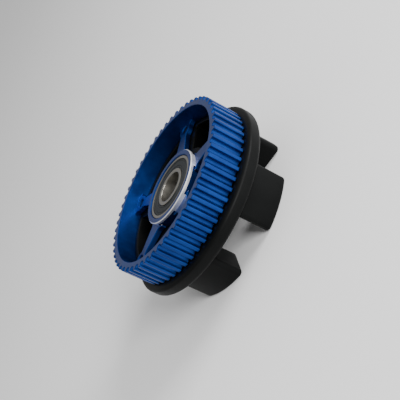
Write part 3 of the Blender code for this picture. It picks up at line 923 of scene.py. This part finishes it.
def make_cage(name, side, node):
    """Half a pressed ribbon cage: flat between the balls, domed over each one, holed for rivets."""
    inside = BALL_R + CAGE_CLEARANCE
    outside = inside + CAGE_SHEET
    bm = bmesh.new()
    rings = []
    for ball in range(BALLS):
        centre = math.tau * ball / BALLS
        for step in range(17):
            share = math.pi * step / 16
            low = max(CAGE_SPLIT, inside * math.sin(share))
            high = max(CAGE_SPLIT + CAGE_SHEET, outside * math.sin(share))
            low_angle = centre - inside * math.cos(share) / BALL_CIRCLE_R
            high_angle = centre - outside * math.cos(share) / BALL_CIRCLE_R
            near = ((CAGE_INNER_R, low_angle, low), (CAGE_OUTER_R, low_angle, low))
            far = ((CAGE_OUTER_R, high_angle, high), (CAGE_INNER_R, high_angle, high))
            ring = [(*polar(radius, angle), BEARING_MID + side * rise) for radius, angle, rise in near + far]
            rings.append([bm.verts.new(corner) for corner in ring])
    bridge(bm, rings, closed=True)
    cage = finish_piece(name, bm, [cage_strip])
    drills = []
    for k in range(BALLS):
        place = polar(BALL_CIRCLE_R, math.tau * (k + 0.5) / BALLS)
        reach = 1.5 * MM
        profile = [(0, BEARING_MID - reach), (RIVET_HOLE_R, BEARING_MID - reach)]
        profile += [(RIVET_HOLE_R, BEARING_MID + reach), (0, BEARING_MID + reach)]
        drills.append(turned(f"drill_{k}", profile, 16, [], place))
    combine(cage, drills, "DIFFERENCE")
    return settle(cage, "cage_steel", node, body="cage_and_balls")


def make_rivet(index):
    """A rivet with two low domed heads."""
    shank_r, head_r, head = 0.4 * MM, 0.75 * MM, 0.3 * MM
    seat = 0.55 * MM
    dome = [(head_r * math.cos(t), seat + head * math.sin(t)) for t in (0, 0.4, 0.8, 1.2)]
    half = [(shank_r, seat)] + dome + [(0, seat + head)]
    profile = [(r, BEARING_MID - rise) for r, rise in reversed(half)]
    profile += [(r, BEARING_MID + rise) for r, rise in half]
    name = f"cage_rivet_{index + 1}"
    rivet = turned(name, profile, 16, [cage_strip], polar(BALL_CIRCLE_R, math.tau * (index + 0.5) / BALLS))
    return settle(rivet, "cage_steel", f"bearing_{name}", body="cage_and_balls")


for k in range(BALLS):
    make_ball(k)
    make_rivet(k)
make_cage("front_cage_half", 1, "bearing_cage_front")
make_cage("rear_cage_half", -1, "bearing_cage_rear")
print("balls and rivets:", BALLS, "each")

# %% [markdown]
# ## The screws
#
# Five M4 button-head screws with a 2.5 mm hex socket come in from the rear, each on a plain washer, and
# end inside the bosses. The thread is a real helix: the radius follows a triangle wave that climbs 0.7 mm
# for each turn.


# %% Screws and washers
def make_screw(index):
    name = f"adapter_screw_{index + 1}"
    low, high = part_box(name)
    place = (low + high).xy / 2
    head_r = (high.x - low.x) / 2
    head, thread_r, core_r, pitch = 2.2 * MM, 1.95 * MM, 1.45 * MM, 0.7 * MM
    thread_depth = 0.42 * MM
    tip_taper = 0.5 * MM
    seat = low.z + head
    segments = 32
    bm = bmesh.new()
    rings = [[bm.verts.new((*place, low.z))]]
    outline = [(0.5 * head_r, low.z)]
    for step in range(8):
        share = math.radians(28) + math.radians(62) * step / 7
        rise = head * 0.86 * (1 - math.cos(share)) - 0.2 * MM * (step == 0)
        outline.append((head_r * math.sin(share), low.z + rise))
    outline[1] = (0.62 * head_r, low.z + 0.06 * MM)
    outline += [(head_r, seat - 0.15 * MM), (head_r - 0.1 * MM, seat), (thread_r - 0.1 * MM, seat)]
    for radius, height in outline:
        points = [polar(radius, math.tau * k / segments) + place for k in range(segments)]
        rings.append([bm.verts.new((p.x, p.y, height)) for p in points])
    rows = 96
    start, end = seat + 0.6 * MM, high.z
    for row in range(rows + 1):
        height = start + (end - start) * row / rows
        taper = min(1, (end - height) / tip_taper)
        points = []
        for k in range(segments):
            phase = (height / pitch - k / segments) % 1
            depth = thread_depth * abs(2 * phase - 1)
            radius = min(thread_r - depth, core_r + tip_taper * taper)
            points.append(polar(radius, math.tau * k / segments) + place)
        rings.append([bm.verts.new((p.x, p.y, height)) for p in points])
    rings.append([bm.verts.new((*place, high.z))])
    bridge(bm, rings, closed=False)
    screw = finish_piece(f"button_screw_{index + 1}", bm, [black_oxide])
    socket_flats = 2.5 * MM
    socket_r = socket_flats / math.sqrt(3)
    hexagon = [polar(socket_r, math.tau * k / 6) + place for k in range(6)]
    depth = low.z + 1.3 * MM
    stations = [(low.z - 1.0 * MM, 0.9 * MM), (low.z + 0.1 * MM, 0), (depth, 0)]
    combine(screw, [loft("socket", hexagon, stations, [])], "DIFFERENCE")
    return settle(screw, "screw_steel", name)


def make_washer(index):
    name = f"adapter_washer_{index + 1}"
    low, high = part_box(name)
    hole, outer, edge = 2.2 * MM, (high.x - low.x) / 2, 0.12 * MM
    profile = [
        (hole, low.z + edge), (hole + edge, low.z), (outer - edge, low.z), (outer, low.z + edge),
        (outer, high.z - edge), (outer - edge, high.z), (hole + edge, high.z), (hole, high.z - edge),
    ]
    washer = turned(f"plain_washer_{index + 1}", profile, 48, [zinc], (low + high).xy / 2)
    return settle(washer, "washer_zinc", name)


for k in range(SPOKES):
    make_screw(k)
    make_washer(k)

# %% Floor finish
floor_paint = new_material("matt_white_backdrop", "#F4F4F4", 0.0, 0.9)
floor.data.materials.append(floor_paint)
print("floor side, m:", FLOOR_SIDE)
